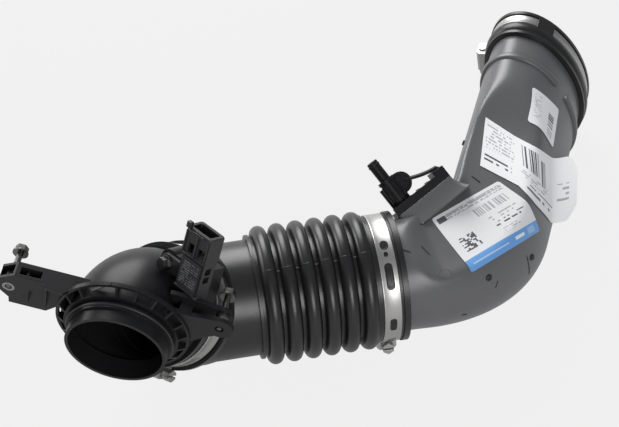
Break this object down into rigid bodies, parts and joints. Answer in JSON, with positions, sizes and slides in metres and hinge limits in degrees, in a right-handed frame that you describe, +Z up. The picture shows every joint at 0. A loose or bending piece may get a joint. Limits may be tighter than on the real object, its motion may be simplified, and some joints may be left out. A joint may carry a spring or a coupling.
{
  "type": "air intake hose",
  "caption": "Engine air intake hose: round plastic inlet elbow with fixing arm and sensor, rubber bellows, bent plastic duct with breather nipple, clamped oval coupler.",
  "frame": {"origin": "the middle of the whole part's box, at the floor it lies on", "axes": "+Z up from the floor; +X along the part's length, from the inlet spigot to the oval coupler; +Y completes the right-handed frame"},
  "size_m": [0.5018, 0.188, 0.1612],
  "materials": {
    "elbow_plastic": "moulded glass-filled black plastic, fine dull grain",
    "duct_plastic": "blow-moulded dark grey plastic, satin",
    "hose_rubber": "smooth black rubber with a soft sheen",
    "seal_rubber": "black seal rubber",
    "probe_seal": "red-brown seal rubber",
    "sensor_plastic": "black plastic, slightly finer than the elbow",
    "terminal_brass": "bright",
    "zinc_steel": "zinc-plated steel, dull",
    "sleeve_steel": "plain turned steel",
    "band_steel": "bright rolled stainless strip",
    "clamp_zinc": "stamped and plated, slightly warm",
    "clip_steel": "dark oxide"
  },
  "bodies": {
    "root": {"inlet_elbow": "elbow_plastic", "spigot_seal": "seal_rubber", "left_bolt": "zinc_steel", "right_bolt": "zinc_steel", "left_sleeve": "sleeve_steel", "right_sleeve": "sleeve_steel", "sensor_body": "sensor_plastic", "sensor_seal": "probe_seal", "sensor_terminals": "terminal_brass", "sensor_screw": "zinc_steel", "bellows_hose": "hose_rubber", "elbow_clamp_band": "band_steel", "elbow_clamp_housing": "clamp_zinc", "elbow_clamp_screw": "clamp_zinc", "duct_clamp_band": "band_steel", "duct_clamp_housing": "clamp_zinc", "duct_clamp_screw": "clamp_zinc", "duct": "duct_plastic", "breather_fitting": "elbow_plastic", "breather_seal": "seal_rubber", "end_coupler": "hose_rubber", "end_clamp_band": "band_steel", "end_clamp_housing": "clamp_zinc", "end_clamp_screw": "clamp_zinc", "end_clamp_clip": "clip_steel"}
  },
  "joints": []
}
